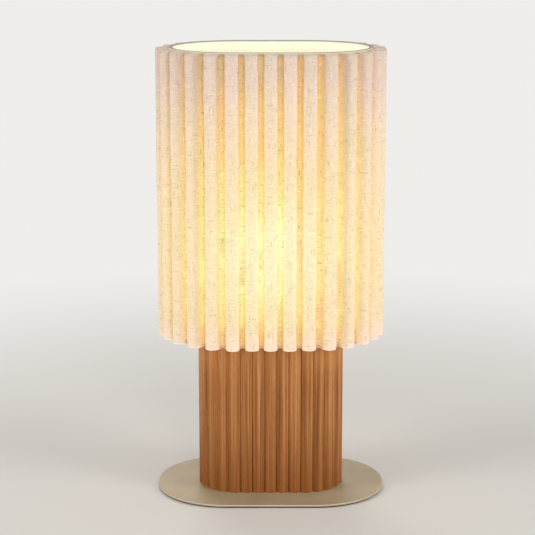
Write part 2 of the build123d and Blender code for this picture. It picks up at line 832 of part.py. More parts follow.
# Capacitor that lies against the upright board
with BuildPart() as bulb_capacitor:
    with BuildSketch(Plane.XY.offset(bulb_join - (driver_board_height + capacitor_height) / 2)):
        with Locations((driver_board_thickness / 2 + capacitor_radius, 0)):
            Circle(capacitor_radius)
    extrude(amount=capacitor_height)
bulb_capacitor.part.label = "bulb_capacitor"

# Screw cap with rounded thread rings and a flared rim under the housing
bulb_cap_middle = (bulb_cap_crest_radius + bulb_cap_root_radius) / 2
bulb_cap_depth = bulb_cap_crest_radius - bulb_cap_root_radius
with BuildPart() as bulb_screw_cap:
    with BuildSketch(Plane.XZ):
        with BuildLine():
            draw_wave(bulb_cap_middle, bulb_cap_depth, bulb_thread_bottom, bulb_cap_pitch, bulb_cap_turns)
            Polyline(
                (bulb_cap_middle, bulb_thread_top),
                (bulb_neck_radius, bulb_neck),
                (bulb_neck_radius - 2 * bulb_cap_wall, bulb_neck),
                (bulb_cap_middle - bulb_cap_wall, bulb_thread_top),
            )
            draw_wave(
                bulb_cap_middle - bulb_cap_wall,
                bulb_cap_depth,
                bulb_thread_bottom,
                bulb_cap_pitch,
                bulb_cap_turns,
            )
            Line(
                (bulb_cap_middle - bulb_cap_wall, bulb_thread_bottom),
                (bulb_cap_middle, bulb_thread_bottom),
            )
        make_face()
    revolve(axis=Axis.Z)
bulb_screw_cap.part.label = "bulb_screw_cap"

# Black ring that closes the cap from below and holds the tip
plug_radius = bulb_cap_root_radius - bulb_cap_wall - thread_clearance
with BuildPart() as bulb_cap_insulator:
    with BuildSketch(Plane.XZ):
        with BuildLine():
            Polyline(
                (0, tip_bottom + tip_height),
                (tip_radius, tip_bottom + tip_height),
                (insulator_radius, bulb_thread_bottom - insulator_plug_height / 2),
                (bulb_cap_middle, bulb_thread_bottom),
                (plug_radius, bulb_thread_bottom),
                (plug_radius, bulb_thread_bottom + insulator_plug_height),
                (0, bulb_thread_bottom + insulator_plug_height),
                close=True,
            )
        make_face()
    revolve(axis=Axis.Z)
bulb_cap_insulator.part.label = "bulb_cap_insulator"

# Contact in the middle of the cap's lower end
with BuildPart() as bulb_tip_contact:
    with BuildSketch(Plane.XY.offset(tip_bottom)):
        Circle(tip_radius)
    extrude(amount=tip_height)
    fillet(bulb_tip_contact.edges().group_by(Axis.Z)[0], tip_height / 2)
bulb_tip_contact.part.label = "bulb_tip_contact"

pieces = [
    base_pad,
    base_plate,
    base_screws,
    column_core,
    column_foot_board,
    column_top_board,
    reeds_front,
    reeds_right,
    reeds_back,
    reeds_left,
    cable_bush,
    lamp_pipe,
    pipe_washers,
    pipe_nuts,
    holder_cap,
    contact_block,
    terminal_blocks,
    terminal_screws,
    centre_contact,
    lamp_screw_shell,
    holder_skirt,
    switch_bar,
    shade_fabric,
    shade_liner,
    top_wire,
    top_edge_tape,
    bottom_edge_tape,
    bottom_wire,
    carrier_arms,
    carrier_ring,
    retaining_ring,
    bulb_diffuser,
    bulb_housing,
    bulb_led_board,
    bulb_leds,
    bulb_driver_board,
    bulb_capacitor,
    bulb_screw_cap,
    bulb_cap_insulator,
    bulb_tip_contact,
]
os.makedirs("parts", exist_ok=True)
for piece in pieces:
    export_step(piece.part, f"parts/{piece.part.label}.step")
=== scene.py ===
from math import acos, cos, pi, sin

import bpy
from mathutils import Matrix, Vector, noise


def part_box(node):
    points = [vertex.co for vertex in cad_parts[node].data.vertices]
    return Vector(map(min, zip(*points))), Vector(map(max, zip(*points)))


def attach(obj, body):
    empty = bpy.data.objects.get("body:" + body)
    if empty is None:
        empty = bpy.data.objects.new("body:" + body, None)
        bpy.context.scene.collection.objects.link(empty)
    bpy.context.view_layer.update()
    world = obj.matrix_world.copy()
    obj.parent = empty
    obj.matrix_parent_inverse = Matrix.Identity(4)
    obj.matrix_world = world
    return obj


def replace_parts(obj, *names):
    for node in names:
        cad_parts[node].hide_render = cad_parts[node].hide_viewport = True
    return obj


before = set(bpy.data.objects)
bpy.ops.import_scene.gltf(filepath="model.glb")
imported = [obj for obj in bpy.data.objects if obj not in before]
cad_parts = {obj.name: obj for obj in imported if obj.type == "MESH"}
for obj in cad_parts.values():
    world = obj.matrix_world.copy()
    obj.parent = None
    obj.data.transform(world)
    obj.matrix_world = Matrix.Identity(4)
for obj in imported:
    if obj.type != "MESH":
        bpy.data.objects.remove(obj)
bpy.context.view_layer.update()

# Counts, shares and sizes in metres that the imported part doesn't give
flute_count = 30
flute_depth = 0.014
nose_radius = 0.0066
valley_fullness = 0.9
fabric_thickness = 0.0009
glue_gap = 0.0001
fold_clearance = 0.0003
fold_radius = 0.0010
tape_thickness = 0.0005
tape_fullness = 0.9
tape_height = 0.009
liner_thickness = 0.0008
wire_radius = 0.0015
reed_count = 30
reed_rise = 0.004
glow_drop = 0.020
glow_near = 0.07
glow_far = 0.22

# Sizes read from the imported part
liner_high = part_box("shade_liner")[1]
fabric_low, fabric_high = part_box("shade_fabric")
reeds_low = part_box("reeds_front")[0]
side_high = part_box("reeds_right")[1]
dome_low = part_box("bulb_diffuser")[0]
plate_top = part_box("base_plate")[1].z
shade_radius = liner_high.y
shade_straight = 2 * (liner_high.x - shade_radius)
shade_bottom = fabric_low.z
shade_top = liner_high.z + tape_thickness
cover_height = fabric_high.z - fabric_low.z
flute_pitch = (2 * shade_straight + 2 * pi * shade_radius) / flute_count
valley_radius = (flute_pitch / 2 - nose_radius) * valley_fullness
wire_track = shade_radius - liner_thickness - wire_radius
groove_radius = -reeds_low.y - reed_rise
column_straight = 2 * (side_high.x - groove_radius - reed_rise)
column_outline = 2 * column_straight + 2 * pi * groove_radius
glow_centre = (0.0, 0.0, dome_low.z - glow_drop)


class Finish:
    """A procedural material, with a short call for each kind of node."""

    def __init__(self, name, roughness, metallic=0.0):
        self.material = bpy.data.materials.new(name)
        self.material.use_nodes = True
        self.tree = self.material.node_tree
        self.surface = self.tree.nodes["Principled BSDF"]
        self.surface.inputs["Roughness"].default_value = roughness
        self.surface.inputs["Metallic"].default_value = metallic
        where = self.tree.nodes.new("ShaderNodeTexCoord")
        self.place = where.outputs["Object"]
        self.cloth = where.outputs["UV"]

    def put(self, value, socket):
        """Gives a socket a plain value, or the output of another node."""
        if isinstance(value, bpy.types.NodeSocket):
            self.tree.links.new(value, socket)
        elif isinstance(value, (tuple, list)) and len(value) == 3 and socket.type == "RGBA":
            socket.default_value = (*value, 1.0)
        else:
            socket.default_value = value

    def math(self, operation, first, second=0.0, third=0.0):
        node = self.tree.nodes.new("ShaderNodeMath")
        node.operation = operation
        for socket, value in zip(node.inputs, (first, second, third)):
            self.put(value, socket)
        return node.outputs[0]

    def times(self, first, second):
        return self.math("MULTIPLY", first, second)

    def stretch(self, place, factors):
        node = self.tree.nodes.new("ShaderNodeVectorMath")
        node.operation = "MULTIPLY"
        self.put(place, node.inputs[0])
        self.put(factors, node.inputs[1])
        return node.outputs[0]

    def split(self, place):
        node = self.tree.nodes.new("ShaderNodeSeparateXYZ")
        self.put(place, node.inputs[0])
        return node.outputs

    def join(self, x, y, z):
        node = self.tree.nodes.new("ShaderNodeCombineXYZ")
        for socket, value in zip(node.inputs, (x, y, z)):
            self.put(value, socket)
        return node.outputs[0]

    def distance(self, place, centre):
        node = self.tree.nodes.new("ShaderNodeVectorMath")
        node.operation = "DISTANCE"
        self.put(place, node.inputs[0])
        self.put(centre, node.inputs[1])
        return node.outputs["Value"]

    def noise(self, place, detail=2.0, roughness=0.5, scale=1.0):
        node = self.tree.nodes.new("ShaderNodeTexNoise")
        self.put(place, node.inputs["Vector"])
        node.inputs["Scale"].default_value = scale
        node.inputs["Detail"].default_value = detail
        node.inputs["Roughness"].default_value = roughness
        return node.outputs["Fac"]

    def random(self, number):
        node = self.tree.nodes.new("ShaderNodeTexWhiteNoise")
        node.noise_dimensions = "1D"
        self.put(number, node.inputs["W"])
        return node.outputs["Value"]

    def span(self, value, low, high, to_low=0.0, to_high=1.0, smooth=False):
        """Maps a value from one range to another, and stops at the ends."""
        node = self.tree.nodes.new("ShaderNodeMapRange")
        node.interpolation_type = "SMOOTHSTEP" if smooth else "LINEAR"
        for socket, number in zip(node.inputs, (value, low, high, to_low, to_high)):
            self.put(number, socket)
        return node.outputs[0]

    def ramp(self, factor, stops):
        """Colour from a factor, through stops that each hold a place and a colour."""
        node = self.tree.nodes.new("ShaderNodeValToRGB")
        marks = node.color_ramp.elements
        while len(marks) < len(stops):
            marks.new(1.0)
        for mark, (where, colour) in zip(marks, stops):
            mark.position = where
            mark.color = (*colour, 1.0)
        self.put(factor, node.inputs["Fac"])
        return node.outputs["Color"]

    def mix(self, factor, first, second):
        node = self.tree.nodes.new("ShaderNodeMix")
        node.data_type = "RGBA"
        self.put(factor, node.inputs[0])
        self.put(first, node.inputs[6])
        self.put(second, node.inputs[7])
        return node.outputs[2]

    def lay_over(self, ground, layers):
        """Mixes colours over a ground, one after the other, each by its own mask."""
        for mask, colour in layers:
            ground = self.mix(mask, ground, colour)
        return ground

    def bump(self, height, depth):
        """Small relief, with the height of its steps in metres."""
        node = self.tree.nodes.new("ShaderNodeBump")
        node.inputs["Distance"].default_value = depth
        self.put(height, node.inputs["Height"])
        return node.outputs["Normal"]

    def away_from_bulb(self):
        """Runs from 0 near the bulb to 1 far from it."""
        return self.span(self.distance(self.place, glow_centre), glow_near, glow_far)

    def wear(self, **sockets):
        """Puts values or node outputs on the surface, by the names of its sockets."""
        for name, value in sockets.items():
            self.put(value, self.surface.inputs[name.replace("_", " ")])
        return self.material


def dress(names, material):
    """Gives nodes of the part a material."""
    for name in names:
        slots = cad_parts[name].data.materials
        slots.clear()
        slots.append(material)


# Linen of the shade, with the glow of the bulb behind it
def linen(name, flute_length):
    made = Finish(name, roughness=0.9)
    across, along = made.split(made.cloth)[0:2]

    def cloth_noise(wide, tall, roughness=0.5):
        """Noise with so many steps in a metre across the cloth and up it."""
        return made.noise(made.stretch(made.cloth, (wide, tall, 1.0)), 1.0, roughness)

    fine_warp = cloth_noise(1500.0, 90.0)
    fine_weft = cloth_noise(90.0, 1500.0)
    slub_warp = cloth_noise(620.0, 95.0, 0.6)
    slub_weft = cloth_noise(95.0, 620.0, 0.6)
    specks = cloth_noise(420.0, 330.0, 0.7)
    cloud = made.noise(made.stretch(made.place, (95.0, 95.0, 24.0)), 3.0, 0.6)
    drift = made.noise(made.stretch(made.place, (45.0, 45.0, 16.0)), 2.0)
    weave = made.math("MULTIPLY_ADD", fine_warp, 0.5, made.times(fine_weft, 0.5))

    def marks(slub_low, slub_high, speck_low, speck_high):
        """Where the slubs of either direction, or the specks, stand out."""
        slubs = [made.span(slub, slub_low, slub_high) for slub in (slub_warp, slub_weft)]
        return made.math("MAXIMUM", made.math("MAXIMUM", *slubs), made.span(specks, speck_low, speck_high))

    dark = marks(0.655, 0.71, 0.69, 0.74)
    light = marks(0.35, 0.29, 0.31, 0.26)

    # Crests and valleys of the flutes, with a ragged line between them
    steps = made.times(across, 1.0 / flute_length)
    off_crest = made.math("ABSOLUTE", made.math("SUBTRACT", made.math("FRACT", steps), 0.5))
    raggedness = 0.10
    ragged = made.math("MULTIPLY_ADD", made.math("SUBTRACT", cloud, 0.5), raggedness, off_crest)
    valley = made.span(ragged, 0.285, 0.400, smooth=True)
    valley_tone = made.random(made.math("ROUND", steps))

    # Colour of the cloth, with the valleys painted golden for the light that comes through them
    blush = made.times(made.span(along, 0.026, 0.004, smooth=True), made.span(valley, 0.5, 0.1))
    pale = made.ramp(
        made.span(cloud, 0.34, 0.66),
        [(0.0, (0.655, 0.560, 0.430)), (0.5, (0.680, 0.548, 0.462)), (1.0, (0.705, 0.545, 0.500))],
    )
    colour = made.lay_over(
        pale,
        [
            # valleys painted golden: light through the cloth, painted into its colour
            (made.times(valley, 0.7), (0.60, 0.40, 0.19)),
            (made.span(weave, 0.62, 0.38, 0.0, 0.20), (0.80, 0.71, 0.62)),
            (made.times(blush, 0.8), (0.75, 0.59, 0.59)),
            (made.times(dark, 0.32), (0.30, 0.21, 0.14)),
            (made.times(light, 0.50), (0.92, 0.86, 0.78)),
        ],
    )

    # Light that comes through the cloth, on the crests and in the valleys
    away = made.away_from_bulb()
    crest_glow = made.ramp(
        away,
        [
            (0.06, (0.335, 0.375, 0.135)),
            (0.14, (0.320, 0.305, 0.080)),
            (0.25, (0.300, 0.240, 0.050)),
            (0.45, (0.265, 0.200, 0.055)),
            (0.65, (0.215, 0.165, 0.070)),
            (0.85, (0.130, 0.095, 0.070)),
            (1.00, (0.090, 0.062, 0.045)),
        ],
    )
    valley_glow = made.ramp(
        away,
        [
            (0.00, (0.430, 0.630, 0.350)),
            (0.12, (0.405, 0.480, 0.165)),
            (0.35, (0.405, 0.340, 0.100)),
            (0.58, (0.360, 0.265, 0.078)),
            (0.80, (0.225, 0.178, 0.068)),
            (1.00, (0.150, 0.110, 0.050)),
        ],
    )
    near_foot = made.span(along, 0.034, 0.004, smooth=True)
    valley_glow = made.lay_over(
        valley_glow,
        [
            (made.span(valley_tone, 0.45, 1.0, 0.0, 0.50), (0.380, 0.200, 0.040)),
            (made.span(drift, 0.46, 0.34, 0.0, 0.55), (0.400, 0.215, 0.075)),
            (made.span(drift, 0.52, 0.66, 0.0, 0.60), (0.330, 0.290, 0.065)),
            (made.times(near_foot, 0.85), (0.310, 0.175, 0.040)),
        ],
    )

    # Less light at the ends of the flutes, and a bright line along the lower edge
    edge = made.math("MINIMUM", along, made.math("SUBTRACT", cover_height, along))
    shaded = made.times(made.span(edge, 0.0045, 0.0012), made.span(valley, 0.3, 0.9))
    hem = made.times(made.span(along, 0.0016, 0.0006), made.span(valley, 0.6, 0.2, 0.2, 0.9))
    # painted shade in the glow, under the tape at the top edge
    painted_edge_lighting = made.times(made.span(edge, 0.0030, 0.0010), made.span(along, 0.01, 0.02))
    folded = made.span(edge, 0.0, -0.0008)
    glow = made.lay_over(
        made.mix(valley, crest_glow, valley_glow),
        [
            (made.times(shaded, 0.85), (0.07, 0.045, 0.02)),
            (hem, (0.46, 0.390, 0.260)),
            (made.times(painted_edge_lighting, 0.7), (0.020, 0.012, 0.008)),
            (folded, (0.10, 0.075, 0.045)),
        ],
    )

    # How much of it the threads let through
    behind_dark = made.span(valley, 0.0, 1.0, 0.72, 0.45)
    strength = made.span(weave, 0.62, 0.38, 0.84, 1.16)
    strength = made.times(strength, made.span(cloud, 0.34, 0.66, 0.93, 1.07))
    strength = made.times(strength, made.span(dark, 0.0, 1.0, 1.0, behind_dark))
    strength = made.times(strength, made.span(light, 0.0, 1.0, 1.0, 1.20))

    height = made.math("ADD", weave, made.times(made.math("MAXIMUM", dark, light), 0.5))
    return made.wear(
        Base_Color=colour,
        Emission_Color=glow,
        Emission_Strength=strength,
        Normal=made.bump(height, 0.00035),
        Sheen_Weight=0.2,
        Sheen_Roughness=0.5,
    )


def outline_place(straight, radius, travel):
    """Point on a straight-sided outline with round ends, and the direction that faces outward there.

    Travel is measured from the middle of the front, towards +X.
    """
    half = straight / 2
    end_arc = pi * radius
    travel = travel % (2 * straight + 2 * end_arc)
    if travel <= half:
        return Vector((travel, -radius, 0)), Vector((0, -1, 0))
    travel -= half
    if travel <= end_arc:
        angle = travel / radius - pi / 2
        facing = Vector((cos(angle), sin(angle), 0))
        return Vector((half, 0, 0)) + facing * radius, facing
    travel -= end_arc
    if travel <= straight:
        return Vector((half - travel, radius, 0)), Vector((0, 1, 0))
    travel -= straight
    if travel <= end_arc:
        angle = travel / radius + pi / 2
        facing = Vector((cos(angle), sin(angle), 0))
        return Vector((-half, 0, 0)) + facing * radius, facing
    travel -= end_arc
    return Vector((travel - half, -radius, 0)), Vector((0, -1, 0))


def turned(direction, angle):
    """A direction in the plan, turned about Z."""
    return Vector((
        direction.x * cos(angle) - direction.y * sin(angle),
        direction.x * sin(angle) + direction.y * cos(angle),
        0,
    ))


def flute_centre(number):
    """Centre of a flute's round nose, and the direction that faces outward there."""
    place, facing = outline_place(shade_straight, shade_radius, number * flute_pitch)
    return place + facing * (flute_depth - nose_radius), facing


def valley_centre(number):
    """Centre of the round valley after a flute, and the direction that faces outward there."""
    place, facing = outline_place(shade_straight, shade_radius, (number + 0.5) * flute_pitch)
    return place + facing * (glue_gap + fabric_thickness + valley_radius), facing


def arc_points(centre, start, end, count):
    """Points on an arc from one radius vector to another, both ends included."""
    sweep = start.xy.angle_signed(end.xy)
    return [centre + turned(start, -sweep * step / count) for step in range(count + 1)]


def flute_points(number):
    """Outer face of one flute in plan, from the middle of one valley to the middle of the next."""
    valley_steps = 3
    nose_steps = 5
    nose, facing = flute_centre(number)
    before, before_facing = valley_centre(number - 1)
    after, after_facing = valley_centre(number)
    reach_in = before - nose
    reach_out = after - nose
    lean_in = acos((nose_radius + valley_radius) / reach_in.length)
    lean_out = acos((nose_radius + valley_radius) / reach_out.length)
    aim_in = turned(reach_in.normalized(), lean_in)
    aim_out = turned(reach_out.normalized(), -lean_out)
    start = arc_points(before, -before_facing * valley_radius, -aim_in * valley_radius, valley_steps)
    crest = arc_points(nose, aim_in * nose_radius, facing * nose_radius, nose_steps)
    crest += arc_points(nose, facing * nose_radius, aim_out * nose_radius, nose_steps)[1:]
    end = arc_points(after, -aim_out * valley_radius, -after_facing * valley_radius, valley_steps)
    flank_in = (start[-1] + crest[0]) / 2
    flank_out = (crest[-1] + end[0]) / 2
    return start + [flank_in] + crest + [flank_out] + end[:-1]


def new_mesh(name, points, faces, smooth=True):
    mesh = bpy.data.meshes.new(name)
    mesh.from_pydata(points, [], faces)
    mesh.validate()
    if smooth:
        mesh.shade_smooth()
    made = bpy.data.objects.new(name, mesh)
    bpy.context.scene.collection.objects.link(made)
    return made


def closed_grid(name, columns, rows, place, across, along):
    """A sheet that closes on itself across its columns, with a cloth map in metres."""
    points = [place(column, row) for row in range(rows) for column in range(columns)]
    faces = []
    corners = []
    for row in range(rows - 1):
        low, high = along[row], along[row + 1]
        for column in range(columns):
            after = (column + 1) % columns
            lower = row * columns
            upper = lower + columns
            faces.append((lower + column, lower + after, upper + after, upper + column))
            left, right = across[column], across[column + 1]
            corners += [(left, low), (right, low), (right, high), (left, high)]
    made = new_mesh(name, points, faces)
    layer = made.data.uv_layers.new(name="cloth")
    for corner, spot in zip(layer.data, corners):
        corner.uv = spot
    return made


def thicken(sheet, thickness, offset):
    """Gives a sheet its thickness: an offset of -1 keeps its outer face, 0 keeps its middle."""
    wall = sheet.modifiers.new("thickness", "SOLIDIFY")
    wall.thickness = thickness
    wall.offset = offset


# Plan of the fluted cover, once round
flute_columns = [point for number in range(flute_count) for point in flute_points(number)]
columns_per_flute = len(flute_columns) // flute_count
travels = [0.0]
for column, point in enumerate(flute_columns):
    after = flute_columns[(column + 1) % len(flute_columns)]
    travels.append(travels[-1] + (after - point).length)
cover_length = travels[-1]

# Rows of the cover, from the inner edge of the lower fold, up the wall, to that of the upper fold
fold_shares = [1.0, 0.75, 0.5, 0.28, 0.1]
fold_angles = [0.0, pi / 6, pi / 3, pi / 2]
largest_bend_share = 0.45
near_hem = [0.0013, 0.0020, 0.0032, 0.0050, 0.0080, 0.0120]
body_rows = 44
body_height = cover_height - 2 * near_hem[-1]
wall_heights = near_hem + [near_hem[-1] + body_height * step / body_rows for step in range(1, body_rows)]
wall_heights += [cover_height - step for step in reversed(near_hem)]
widest_fold = flute_depth - glue_gap - fold_clearance
fold_rows = [("fold", share) for share in fold_shares] + [("bend", angle) for angle in fold_angles]
cover_rows = [("low", *row) for row in fold_rows]
cover_rows += [("wall", "wall", height) for height in wall_heights]
cover_rows += [("high", *row) for row in reversed(fold_rows)]

# Small unevenness of the glued fabric
fold_sag = 0.0002
hem_dip = 0.0010
hem_reach = 0.012
low_seed = 1.0
high_seed = 5.0
flute_seed_step = 3.7
wobble_depth = 0.00040
wobble_scale = 55.0
wobble_stretch = 0.35


def row_along(row):
    """Place of a row on the cloth, from the lower edge of the wall."""
    end, kind, value = cover_rows[row]
    if kind == "wall":
        return value
    past_edge = -value * widest_fold if kind == "fold" else fold_radius * (1.0 - cos(value))
    return past_edge if end == "low" else cover_height - past_edge


def cover_place(column, row):
    """A point of the cover, with the unevenness of its hems and walls."""
    point = flute_columns[column]
    before = flute_columns[column - 1]
    after = flute_columns[(column + 1) % len(flute_columns)]
    along = (after - before).normalized()
    outward = Vector((along.y, -along.x, 0))
    end, kind, value = cover_rows[row]
    low_end = end == "low" or (end == "wall" and value < cover_height / 2)
    centre = Vector((max(-shade_straight / 2, min(shade_straight / 2, point.x)), 0, 0))
    inner = centre + (point - centre).normalized() * (shade_radius + glue_gap + fold_clearance)
    fold = inner - point
    bend = min(fold_radius, largest_bend_share * fold.length)
    height = min(value, cover_height - value) if kind == "wall" else 0.0
    shift = Vector((0, 0, 0))
    if kind == "fold":
        shift = fold.normalized() * (bend + value * (fold.length - bend))
        height = -fold_sag * sin(pi * value) * fold.length / widest_fold
    elif kind == "bend":
        shift = fold.normalized() * bend * (1.0 - sin(value))
        height = bend * (1.0 - cos(value))
    number = column // columns_per_flute
    seed = low_seed if low_end else high_seed
    dip = noise.noise(Vector((number * flute_seed_step, 0.0, seed))) * hem_dip
    dip = dip if low_end else -abs(dip)
    rise = dip * max(0.0, 1.0 - height / hem_reach)
    top = fabric_low.z + height if low_end else fabric_high.z - height
    if kind != "fold":
        spot = Vector((point.x, point.y, top * wobble_stretch)) * wobble_scale
        shift += outward * (noise.noise(spot) * wobble_depth)
    return (point + shift + Vector((0, 0, top + rise)))[:]


cover_travel = [row_along(row) for row in range(len(cover_rows))]
cover = closed_grid("linen_cover", len(flute_columns), len(cover_rows), cover_place, travels, cover_travel)
thicken(cover, fabric_thickness, -1.0)
cover.data.materials.append(linen("shade_linen", cover_length / flute_count))
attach(cover, "shade")
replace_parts(cover, "shade_fabric")


# Folded tapes over the edges of the liner
def station_list(straight, half_steps, arc_steps):
    """Centres and outward directions once round an outline, from the middle of the front."""
    half = straight / 2
    back_steps = 2 * half_steps
    front, back = Vector((0, -1, 0)), Vector((0, 1, 0))
    stations = [(Vector((half * step / half_steps, 0, 0)), front) for step in range(half_steps)]
    for step in range(arc_steps + 1):
        angle = -pi / 2 + pi * step / arc_steps
        stations.append((Vector((half, 0, 0)), Vector((cos(angle), sin(angle), 0))))
    for step in range(1, back_steps):
        stations.append((Vector((half - straight * step / back_steps, 0, 0)), back))
    for step in range(arc_steps + 1):
        angle = pi / 2 + pi * step / arc_steps
        stations.append((Vector((-half, 0, 0)), Vector((cos(angle), sin(angle), 0))))
    for step in range(1, half_steps):
        stations.append((Vector((-half + half * step / half_steps, 0, 0)), front))
    return stations


def tape_material(name):
    """Cream tape, painted taupe as shade over the lampshade's edge, and painted cream and lit by the bulb on
    its inner side.
    """
    made = Finish(name, roughness=0.85)
    along = made.split(made.cloth)[1]
    rib = made.noise(made.stretch(made.cloth, (1600.0, 220.0, 1.0)), 2.0)
    cloud = made.noise(made.place, 3.0, scale=60.0)
    tone = made.math("MULTIPLY_ADD", rib, 0.6, made.times(cloud, 0.4))
    # painted shade: the cream tape darkened to taupe over the edge, away from the bulb
    shaded_outside = made.ramp(
        made.span(tone, 0.35, 0.65),
        [(0.0, (0.23, 0.195, 0.142)), (0.5, (0.30, 0.255, 0.195)), (1.0, (0.38, 0.330, 0.260))],
    )
    # painted light: the inner side cream and glowing with the light of the bulb
    inside = made.span(along, 0.0030, 0.0044, smooth=True)
    return made.wear(
        Base_Color=made.mix(inside, shaded_outside, (0.46, 0.45, 0.40)),
        Emission_Color=made.mix(inside, (0.050, 0.036, 0.018), (0.58, 0.58, 0.44)),
        Emission_Strength=made.span(tone, 0.35, 0.65, 0.80, 0.90),
        Normal=made.bump(rib, 0.0003),
        Sheen_Weight=0.15,
    )


tape_finish = tape_material("edge_tape_cotton")
tape_middle = tape_thickness / 2
ripple_depth = 0.00012
ripple_scale = 90.0
ripple_radius = 0.1
ripple_row_step = 0.3


def tape_section():
    """Section of a tape that starts on the outer face of the liner and goes over its edge to the inner face.

    It goes round the wire on its way. Each point holds its radius and its distance from the shade's edge.
    """
    lip = 0.0006
    lip_drop = 0.6
    wrap_steps = 12
    inner_steps = 6
    pinch = 0.0002
    pinch_drop = 0.0003
    wire_height = tape_thickness + wire_radius
    reach = wire_radius + tape_middle
    section = [(shade_radius, 0.0), (shade_radius - lip, tape_middle * lip_drop)]
    for step in range(wrap_steps + 1):
        angle = pi / 2 + pi * step / wrap_steps
        section.append((wire_track + reach * cos(angle), wire_height - reach * sin(angle)))
    inner = shade_radius - liner_thickness - tape_middle
    inner_start = wire_height + reach
    inner_height = tape_height - 2 * wire_height
    section.append((inner - pinch, inner_start + pinch_drop))
    for step in range(1, inner_steps + 1):
        section.append((inner, inner_start + inner_height * step / inner_steps))
    return section


def edge_tape(name, edge, inward):
    """Tape over the edge of the shade at one height, inward being 1 for up and -1 for down."""
    section = tape_section()
    stations = station_list(shade_straight, half_steps=14, arc_steps=40)
    travels = [0.0]
    for number, (centre, facing) in enumerate(stations):
        next_centre, next_facing = stations[(number + 1) % len(stations)]
        gap = (next_centre + next_facing * shade_radius) - (centre + facing * shade_radius)
        travels.append(travels[-1] + gap.length)
    widths = [0.0]
    for (radius, drop), (next_radius, next_drop) in zip(section, section[1:]):
        widths.append(widths[-1] + ((next_radius - radius) ** 2 + (next_drop - drop) ** 2) ** 0.5)

    def place(column, row):
        centre, facing = stations[column]
        radius, drop = section[row]
        spot = (centre + facing * ripple_radius) * ripple_scale + Vector((0, 0, row * ripple_row_step))
        radius += noise.noise(spot) * ripple_depth
        return (centre + facing * radius + Vector((0, 0, edge + inward * drop)))[:]

    made = closed_grid(name, len(stations), len(section), place, travels, widths)
    thicken(made, tape_thickness * tape_fullness, 0.0)
    made.data.materials.append(tape_finish)
    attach(made, "shade")
    return made


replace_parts(edge_tape("top_binding", shade_top, -1), "top_edge_tape")
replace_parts(edge_tape("bottom_binding", shade_bottom, 1), "bottom_edge_tape")


# Smooth film inside the shade, bright with the light of the bulb
def liner_film():
    made = Finish("liner_film", roughness=0.45)
    cloud = made.noise(made.place, 2.0, scale=18.0)
    glow = made.ramp(
        made.away_from_bulb(),
        [(0.0, (0.75, 0.76, 0.58)), (0.5, (0.62, 0.62, 0.44)), (1.0, (0.50, 0.49, 0.34))],
    )
    colour = made.mix(made.span(cloud, 0.3, 0.7), (0.42, 0.41, 0.36), (0.48, 0.47, 0.42))
    return made.wear(Base_Color=colour, Emission_Color=glow, Emission_Strength=0.8)


dress(["shade_liner"], liner_film())


